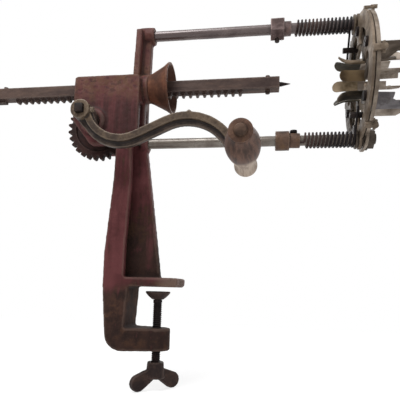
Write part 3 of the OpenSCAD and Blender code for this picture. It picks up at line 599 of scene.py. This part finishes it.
# steel pieces: bright streaks under brown stains
rodLook = {
    "streak": 60.0, "patch": 24.0, "stretch": (0.12, 1.0, 1.0), "dull": tint(98, 89, 80),
    "bright": tint(144, 137, 127), "stain": tint(78, 62, 50), "stainShare": 0.75, "rough": 0.2,
    "metal": 0.3, "bump": 0.15, "shine": 0.7,
}
topRodLook = {
    "streak": 60.0, "patch": 22.0, "stretch": (0.12, 1.0, 1.0), "dull": tint(80, 64, 62),
    "bright": tint(112, 98, 95), "stain": tint(60, 42, 41), "stainShare": 0.8, "rough": 0.2,
    "metal": 0.2, "bump": 0.15, "shine": 0.7,
}
# the head's fade darkens its far half: painted shade, with some dirt
headLook = {
    "streak": 90.0, "patch": 40.0, "stretch": (1.0, 0.6, 1.6), "dull": tint(107, 93, 79),
    "bright": tint(154, 138, 121), "stain": tint(68, 57, 47), "stainShare": 0.7, "rough": 0.46,
    "metal": 0.1, "bump": 0.3, "shine": 0.14, "fade": (1, 0.004, 0.036, tint(66, 56, 47)),
}
bladeLook = {
    "streak": 90.0, "patch": 46.0, "stretch": (0.5, 1.2, 1.2), "dull": tint(140, 127, 114),
    "bright": tint(194, 181, 168), "stain": tint(88, 75, 64), "stainShare": 0.7, "rough": 0.46,
    "metal": 0.1, "bump": 0.3, "shine": 0.16,
}
bladeKinds = {
    # knives, their arms and the ring: the darker and blue-grey ones are painted shade, the pale ring a
    # painted highlight
    "bladeDark": {"dull": tint(92, 81, 71), "bright": tint(122, 110, 98), "stain": tint(60, 51, 44)},
    "armDark": {"dull": tint(76, 67, 58), "bright": tint(108, 97, 86), "stain": tint(48, 41, 35)},
    "ringPale": {"dull": tint(126, 114, 101), "bright": tint(168, 154, 140), "stain": tint(80, 68, 58)},
    "bladeBlue": {"dull": tint(108, 104, 106), "bright": tint(142, 138, 140), "stain": tint(74, 67, 64)},
}
fingerLook = {
    "patch": 60.0, "bloom": tint(112, 92, 66), "bloomShare": 0.25, "worn": tint(146, 132, 114),
    "rough": 0.42, "metal": 0.25, "bump": 0.25,
}
fingerKinds = {
    # the six fingers are given different tones, and two fade to a paler tone along their length
    "fingerPale": {
        "brown": tint(140, 122, 98), "dark": tint(92, 78, 58),
        "fade": (0, 0.196, 0.186, tint(150, 132, 110)),
    },
    "fingerDark": {"brown": tint(80, 76, 68), "dark": tint(50, 47, 41)},
    "fingerTan": {"brown": tint(132, 116, 98), "dark": tint(86, 73, 58)},
    "fingerOlive": {"brown": tint(116, 97, 72), "dark": tint(82, 67, 50)},
    "fingerTip": {
        "brown": tint(50, 44, 36), "dark": tint(36, 31, 25),
        "fade": (0, 0.190, 0.180, tint(126, 112, 98)),
    },
}

finishes = {
    "paint": paintedIron(paintLook),
    "gear": rustyIron("gearPaint", gearLook),
    "cup": rustyIron("cupRust", cupLook),
    "rack": rustyIron("rackRust", rackLook),
    "clamp": rustyIron("clampRust", clampLook),
    "screw": rustyIron("screwRust", screwLook),
    "collar": rustyIron("collarRust", collarLook),
    "lowCollar": rustyIron("lowCollarRust", lowCollarLook),
    "washer": rustyIron("washerRust", washerLook),
    "crank": crankIron(crankLook),
    "spring": rustyIron("springSteel", springLook),
    "black": rustyIron("blackSteel", blackLook),
    "rod": stainedSteel("rodSteel", rodLook),
    "topRod": stainedSteel("topRodSteel", topRodLook),
    "head": stainedSteel("headSteel", headLook),
    "blade": stainedSteel("bladeSteel", bladeLook),
    "wood": weatheredWood(woodLook),
}
for kind, tones in bladeKinds.items():
    finishes[kind] = stainedSteel(kind, {**bladeLook, **tones})
for kind, tones in fingerKinds.items():
    finishes[kind] = rustyIron(kind, {**fingerLook, **tones})
print("finishes made:", ", ".join(finishes))


# shared ways of making a piece
def dress(piece, finish, *nodeNames):
    # the piece stands for its nodes and moves with their body
    piece.data.materials.clear()
    piece.data.materials.append(finishes[finish])
    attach(piece, nodes[nodeNames[0]]["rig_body"])
    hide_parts(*nodeNames)
    return piece


weldGap = 0.002


def mergedMesh(nodeName):
    work = bmesh.new()
    work.from_mesh(nodes[nodeName].data)
    bmesh.ops.remove_doubles(work, verts=work.verts, dist=weldGap * mm)
    return work


def setEdge(mesh, values, domain):
    layer = mesh.attributes.new("edge", "FLOAT", domain)
    layer.data.foreach_set("value", np.asarray(values, np.float32))


def plainEdge(mesh):
    # a mesh that a rule makes has no worn corners
    setEdge(mesh, np.zeros(len(mesh.vertices)), "POINT")
    return mesh


# how corners are rounded, how their sharpness is noted, and the pattern of the pits
softLook = {"shrink": 0.55, "grow": 0.50, "melt": 0.5, "edgePasses": 3, "edgeGain": 6}
pitLook = {"scale": 260.0, "octaves": 4, "share": 0.15}


def softened(mesh, grain, passes, melt, pits):
    # rounds the corners, notes how sharp each place is, and pits the skin inwards
    count = len(mesh.vertices)
    points = np.empty(count * 3)
    mesh.vertices.foreach_get("co", points)
    points = points.reshape(-1, 3)
    ends = np.empty(len(mesh.edges) * 2, np.int64)
    mesh.edges.foreach_get("vertices", ends)
    ends = ends.reshape(-1, 2)
    degree = np.maximum(np.bincount(ends.ravel(), minlength=count), 1)

    def around(values):
        columns = []
        for column in values.T:
            total = np.bincount(ends[:, 0], column[ends[:, 1]], count)
            columns.append((total + np.bincount(ends[:, 1], column[ends[:, 0]], count)) / degree)
        return np.array(columns).T

    for step in range(passes):
        points += softLook["shrink"] * (around(points) - points)
        points -= softLook["grow"] * (around(points) - points)
    for step in range(melt):
        points += softLook["melt"] * (around(points) - points)
    mesh.vertices.foreach_set("co", points.ravel())
    mesh.update()
    normals = np.empty(count * 3)
    mesh.vertices.foreach_get("normal", normals)
    normals = normals.reshape(-1, 3)
    bend = -((around(points) - points) * normals).sum(1)[:, None] / grain
    for step in range(softLook["edgePasses"]):
        bend = (bend + around(bend)) / 2
    setEdge(mesh, np.clip(bend.ravel() * softLook["edgeGain"], -1, 1), "POINT")
    spots = [Vector(point) * pitLook["scale"] for point in points]
    skin = np.array([noise.fractal(spot, 1.0, 2.0, pitLook["octaves"]) for spot in spots])
    depth = np.clip(skin + pitLook["share"], 0, 1) * pits * mm
    points -= normals * depth[:, None]
    mesh.vertices.foreach_set("co", points.ravel())
    mesh.update()


def castPiece(nodeName, finish, grain, passes, melt, pits):
    # a casting: its node with every corner softened
    work = mergedMesh(nodeName)
    mesh = bpy.data.meshes.new(nodeName + "_raw")
    work.to_mesh(mesh)
    work.free()
    holder = newPiece(nodeName + "_holder", mesh)
    remesh = holder.modifiers.new("grain", "REMESH")
    remesh.mode = "VOXEL"
    remesh.voxel_size = grain * mm
    cast = evaluated(holder)
    bpy.data.objects.remove(holder)
    softened(cast, grain * mm, passes, melt, pits)
    cast.shade_smooth()
    cast.name = nodeName + "_cast"
    return dress(newPiece(nodeName + "_cast", cast), finish, nodeName)


cupShade = {"facing": -0.002, "edge": -0.5}


def shadeInside(piece, nodeName, look):
    # paints shade on what faces the cup's own axis, by marking it as a deep hollow
    low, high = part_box(nodeName)
    axisHigh = (low[2] + high[2]) / 2
    layer = piece.data.attributes["edge"].data
    for vertex in piece.data.vertices:
        outward = vertex.normal.y * vertex.co.y + vertex.normal.z * (vertex.co.z - axisHigh)
        if outward < look["facing"]:
            layer[vertex.index].value = look["edge"]


# angles in degrees: what counts as flat, what is broken, and where shading stays sharp
machinedLook = {
    "flat": 0.6, "sharp": 32, "crease": 40, "bevel": 0.3, "segments": 2, "round": 0.6, "wear": 0.35,
}


def machinedPiece(nodeName, finish, look):
    # a machined piece: its node with the sharp edges broken
    work = mergedMesh(nodeName)
    flat, least = math.radians(look["flat"]), math.radians(look["sharp"])
    bmesh.ops.dissolve_limit(work, angle_limit=flat, verts=work.verts, edges=work.edges)
    sharp = [edge for edge in work.edges if len(edge.link_faces) == 2 and edge.calc_face_angle() > least]
    done = bmesh.ops.bevel(
        work, geom=sharp, offset=look["bevel"] * mm, offset_type="OFFSET", segments=look["segments"],
        profile=look["round"], affect="EDGES", clamp_overlap=True,
    )
    mark = work.faces.layers.int.new("broken")
    for face in done["faces"]:
        if face.is_valid:
            face[mark] = 1
    bmesh.ops.triangulate(work, faces=[face for face in work.faces if len(face.verts) > 4])
    broken = [face[mark] for face in work.faces]
    mesh = bpy.data.meshes.new(nodeName + "_machined")
    work.to_mesh(mesh)
    work.free()
    mesh.attributes.remove(mesh.attributes["broken"])
    setEdge(mesh, [look["wear"] * flag for flag in broken], "FACE")
    mesh.shade_smooth()
    mesh.set_sharp_from_angle(angle=math.radians(look["crease"]))
    dress(newPiece(nodeName + "_machined", mesh), finish, nodeName)


nubLook = {"place": (0.0368, -0.0513, 0.1705), "reach": 0.0032, "rise": 0.0022, "steep": 1.5}


def swell(piece, look):
    # a small lump left where the metal was poured
    centre = Vector(look["place"])
    for vertex in piece.data.vertices:
        share = 1 - ((vertex.co - centre).length / look["reach"]) ** 2
        if share > 0:
            vertex.co.z += look["rise"] * share ** look["steep"]
    piece.data.update()


castings = {
    # node: finish, grain in mm, smoothing passes, melting passes, depth of pits in mm
    "frame_casting": ("paint", 1.2, 4, 2, 0.30),
    "drive_gear": ("gear", 0.6, 2, 1, 0.15),
    "cob_cup": ("cup", 0.6, 3, 1, 0.15),
    "rack_bar": ("rack", 0.55, 2, 0, 0.12),
    "clamp_pad": ("clamp", 0.5, 3, 2, 0.10),
    "wing_key": ("clamp", 0.6, 4, 6, 0.25),
    "top_collar": ("collar", 0.5, 2, 1, 0.15),
    "bottom_collar": ("lowCollar", 0.5, 2, 1, 0.15),
    "crank_arm": ("crank", 0.5, 3, 8, 0.20),
}
cast = {nodeName: castPiece(nodeName, *settings) for nodeName, settings in castings.items()}
shadeInside(cast["cob_cup"], "cob_cup", cupShade)
swell(cast["crank_arm"], nubLook)
print("castings made:", len(castings))

machined = {
    # finish: its nodes
    "head": ["head_plate", "top_flange", "top_sleeve", "top_nut", "ring_clips", "crank_set_screw"],
    "black": ["top_set_screw", "bottom_set_screw", "top_post", "bottom_post", "cob_spike", "gear_shaft"],
    "ringPale": ["cam_ring"],
    "rack": ["front_stop_pin", "rear_stop_pin"],
    "washer": ["grip_washer"],
    "lowCollar": ["grip_spindle"],
    "wood": ["crank_grip"],
    "fingerPale": ["guide_finger_1"],
    "fingerDark": ["guide_finger_2", "guide_finger_6"],
    "fingerTan": ["guide_finger_3"],
    "fingerOlive": ["guide_finger_4"],
    "fingerTip": ["guide_finger_5"],
    "blade": [f"knife_blade_{index}" for index in (1, 2, 4, 6)],
    "bladeDark": ["knife_blade_3"],
    "armDark": [
        *[f"knife_arm_{index}" for index in range(1, 7)], "bottom_flange", "bottom_sleeve", "bottom_nut",
    ],
    "bladeBlue": ["knife_blade_5"],
}
for finish, names in machined.items():
    for nodeName in names:
        machinedPiece(nodeName, finish, machinedLook)
print("machined pieces made:", sum(len(names) for names in machined.values()))

# springs: one wire each, coiled on the rod and led out to the ring's post
coilLook = {
    "coilRadius": 7.4, "wireRadius": 1.1, "lead": 2.2, "bend": 2.4, "bendSteps": (15, 30, 45, 60, 75),
    "turn": 34.95, "turnSteps": 28, "reach": 32.98, "sides": 14,
}
springSides = {"top": {"turns": 15, "extraTurn": 0.0}, "bottom": {"turns": 13, "extraTurn": 180.0}}


def wireRule(finish):
    rule = Rule("wireSweep", {"Wire Radius": 0.001, "Sides": 12})
    path = rule.add("GeometryNodeMeshToCurve", inputs={"Mesh": rule.take("Geometry")})
    rule.close(rule.tube(path, rule.take("Wire Radius"), rule.take("Sides")), finish)
    return rule


def coilPath(look, side, low, high):
    # along the rod, round the bend, round the coil, then straight out
    radius, wire, bend = look["coilRadius"], look["wireRadius"], look["bend"]
    first = low + look["lead"] + bend
    bendTurn = math.degrees(bend / radius)
    laid = [(low, 0.0), (low + look["lead"], 0.0)]  # place along the rod, turn in degrees
    for lean in np.radians(look["bendSteps"]):
        turned = math.degrees(bend * (1 - math.cos(lean)) / radius)
        laid.append((low + look["lead"] + bend * math.sin(lean), turned))
    steps = look["turnSteps"] * side["turns"]
    fullTurn = 360 * side["turns"]
    for step in range(steps + 1):
        turned = bendTurn + (fullTurn - bendTurn) * step / steps
        laid.append((first + (high - first) * step / steps, turned))
    points = []
    for x, turned in laid:
        angle = math.radians(-turned)
        points.append(Vector((x, radius * math.cos(angle), radius * math.sin(angle))))
    points += [Vector((high, radius, -wire * step)) for step in (1, 2)]
    points.append(Vector((high, radius, -2 * wire - look["reach"])))
    return points


wires = wireRule(finishes["spring"])
for sideName, side in springSides.items():
    springNode = sideName + "_spring"
    low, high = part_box(springNode)
    rodLow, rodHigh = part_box(sideName + "_rod")
    middle = (rodLow[2] + rodHigh[2]) / 2
    turn = Matrix.Rotation(math.radians(coilLook["turn"] + side["extraTurn"]), 4, "X")
    axis = Matrix.Translation((0, 0, middle)) @ turn
    path = coilPath(coilLook, side, low[0] / mm, high[0] / mm - coilLook["wireRadius"])
    points = [axis @ (point * mm) for point in path]
    sizes = {"Wire Radius": coilLook["wireRadius"] * mm, "Sides": coilLook["sides"]}
    spring = newPiece(springNode + "_wire", plainEdge(wires.make(springNode + "_wire", sizes, points)))
    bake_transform(spring)
    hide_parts(springNode, springNode + "_arm")
print("springs wound")

# threads: the clamp screw, and the ends of the tie rods
threadLook = {"sides": 48, "ringStep": 0.22, "crest": 1.25, "flank": 3, "crease": 60}
clampThread = {"pitch": 2.0, "depth": 0.75, "plainFoot": 8.0, "plainTop": 3.0}
clampTip = {"radius": 3.6, "sunk": 1.0, "padGap": 0.3}
rodThread = {"pitch": 1.5, "depth": 0.6, "length": 10.0}


def threadRule(name, finish, look):
    # a fine tube, drawn in along a helix between two heights
    rule = Rule(name, {
        "Length": 0.05, "Radius": 0.005, "Pitch": 0.002, "Depth": 0.0007, "From": 0.0, "To": 0.05,
        "Rings": 200, "Sides": 48,
    })
    end = rule.point(0.0, 0.0, rule.take("Length"))
    line = rule.add("GeometryNodeCurvePrimitiveLine", inputs={"End": end})
    rings = {"Curve": line, "Count": rule.take("Rings")}
    path = rule.add("GeometryNodeResampleCurve", {"mode": "COUNT"}, rings)
    tube = rule.tube(path, rule.take("Radius"), rule.take("Sides"))
    place = rule.add("GeometryNodeInputPosition")
    x, y, z = [rule.add("ShaderNodeSeparateXYZ", inputs={0: place}, out=axis) for axis in range(3)]
    phase = (z / rule.take("Pitch") - y.angle(x) / math.tau).fraction()
    groove = (look["crest"] - (phase - 0.5).size() * look["flank"]).larger(0.0).smaller(1.0)
    within = z.above(rule.take("From")) * z.below(rule.take("To"))
    keep = 1 - groove * within * rule.take("Depth") / rule.take("Radius")
    moved = {"Geometry": tube, "Position": rule.point(x * keep, y * keep, z)}
    rule.close(rule.add("GeometryNodeSetPosition", inputs=moved), finish)
    return rule


def threaded(rule, name, length, radius, thread, low, high):
    return plainEdge(rule.make(name, {
        "Length": length * mm, "Radius": radius * mm, "Pitch": thread["pitch"] * mm,
        "Depth": thread["depth"] * mm, "From": low * mm, "To": high * mm,
        "Rings": int(length / threadLook["ringStep"]), "Sides": threadLook["sides"],
    }))


def dressSharp(mesh, name, finish, nodeName):
    mesh.set_sharp_from_angle(angle=math.radians(threadLook["crease"]))
    dress(newPiece(name, mesh), finish, nodeName)


def joined(meshes, name):
    work = bmesh.new()
    for mesh in meshes:
        work.from_mesh(mesh)
    whole = bpy.data.meshes.new(name)
    work.to_mesh(whole)
    work.free()
    return whole


screwRule = threadRule("clampThread", finishes["screw"], threadLook)
low, high = [Vector(corner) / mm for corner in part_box("clamp_screw")]
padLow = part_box("clamp_pad")[0][2] / mm - clampTip["padGap"]
screwRadius = (high[0] - low[0]) / 2
bodyLong = padLow - low[2]
threadEnd = bodyLong - clampThread["plainTop"]
body = threaded(
    screwRule, "screwBody", bodyLong, screwRadius, clampThread, clampThread["plainFoot"], threadEnd,
)
body.transform(Matrix.Translation((0, 0, low[2] * mm)))
tipLong = high[2] - padLow + clampTip["sunk"]
tip = threaded(screwRule, "screwTip", tipLong, clampTip["radius"], clampThread, 0.0, 0.0)
tip.transform(Matrix.Translation((0, 0, (padLow - clampTip["sunk"]) * mm)))
dressSharp(joined([body, tip], "clamp_screw_thread"), "clamp_screw_thread", "screw", "clamp_screw")

for sideName, finish in (("top", "topRod"), ("bottom", "rod")):
    rodRule = threadRule(sideName + "RodThread", finishes[finish], threadLook)
    low, high = [Vector(corner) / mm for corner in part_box(sideName + "_rod")]
    length = high[0] - low[0]
    radius = (high[2] - low[2]) / 2
    start = length - rodThread["length"]
    mesh = threaded(rodRule, sideName + "Rod", length, radius, rodThread, start, length)
    place = Matrix.Translation((low[0] * mm, 0, (low[2] + radius) * mm))
    mesh.transform(place @ Matrix.Rotation(math.radians(90), 4, "Y"))
    dressSharp(mesh, sideName + "_rod_thread", finish, sideName + "_rod")
print("threads cut")

# pivot screws: one slotted head, set on the knife arms' six pivots and turned at random
pivotLook = {
    "headRadius": 4.8, "headHigh": 2.6, "headSides": 36, "shankRadius": 3.0, "shankSides": 28,
    "slotWide": 1.1, "slotDeep": 1.2, "seed": 7,
}
pivotRing = {"radius": 50.0, "firstTurn": -18.5, "count": 6}


def slottedRule(finish, look):
    rule = Rule("slottedScrews", {
        "Head Radius": 0.005, "Head High": 0.003, "Shank Radius": 0.003, "Shank Length": 0.005,
        "Slot Wide": 0.001, "Slot Deep": 0.001, "Seed": 1,
    })

    def moved(shape, shift):
        sockets = {"Geometry": shape, "Translation": rule.point(0.0, 0.0, shift)}
        return rule.add("GeometryNodeTransform", inputs=sockets)

    high = rule.take("Head High")
    sizes = {"Vertices": look["headSides"], "Radius": rule.take("Head Radius"), "Depth": high}
    head = moved(rule.add("GeometryNodeMeshCylinder", inputs=sizes), high / 2)
    # the cutter reaches past both sides of the head and stands half above it
    room = rule.point(rule.take("Head Radius") * 3, rule.take("Slot Wide"), rule.take("Slot Deep") * 2)
    slot = moved(rule.add("GeometryNodeMeshCube", inputs={"Size": room}), high)
    cut = {"operation": "DIFFERENCE", "solver": "EXACT"}
    head = rule.add("GeometryNodeMeshBoolean", cut, {"Mesh 1": head, "Mesh 2": slot})
    length = rule.take("Shank Length")
    sizes = {"Vertices": look["shankSides"], "Radius": rule.take("Shank Radius"), "Depth": length}
    shank = moved(rule.add("GeometryNodeMeshCylinder", inputs=sizes), 0 - length / 2)
    whole = rule.add("GeometryNodeJoinGeometry", inputs={"Geometry": [head, shank]})
    spread = {2: 0.0, 3: math.tau, "Seed": rule.take("Seed")}
    spun = rule.add("FunctionNodeRandomValue", {"data_type": "FLOAT"}, spread, out=1)
    screws = rule.add("GeometryNodeInstanceOnPoints", inputs={
        "Points": rule.take("Geometry"), "Instance": whole, "Rotation": (0.0, -math.pi / 2, 0.0),
    })
    turned = {"Instances": screws, "Rotation": rule.point(0.0, 0.0, spun)}
    rule.close(rule.add("GeometryNodeRotateInstances", inputs=turned), finish)
    return rule


low, high = [Vector(corner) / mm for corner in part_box("pivot_screws")]
seat = low[0] + pivotLook["headHigh"]
centre = Vector((seat, 0, (low[2] + high[2]) / 2))
points = []
for index in range(pivotRing["count"]):
    turn = math.radians(pivotRing["firstTurn"] + 360 * index / pivotRing["count"])
    points.append((centre + pivotRing["radius"] * Vector((0, math.cos(turn), math.sin(turn)))) * mm)
sizes = {
    "Head Radius": pivotLook["headRadius"] * mm, "Head High": pivotLook["headHigh"] * mm,
    "Shank Radius": pivotLook["shankRadius"] * mm, "Shank Length": (high[0] - seat) * mm,
    "Slot Wide": pivotLook["slotWide"] * mm, "Slot Deep": pivotLook["slotDeep"] * mm,
    "Seed": pivotLook["seed"],
}
screws = slottedRule(finishes["black"], pivotLook).make("pivot_screws_slotted", sizes, points)
dressSharp(plainEdge(screws), "pivot_screws_slotted", "black", "pivot_screws")
print("pivot screws set")
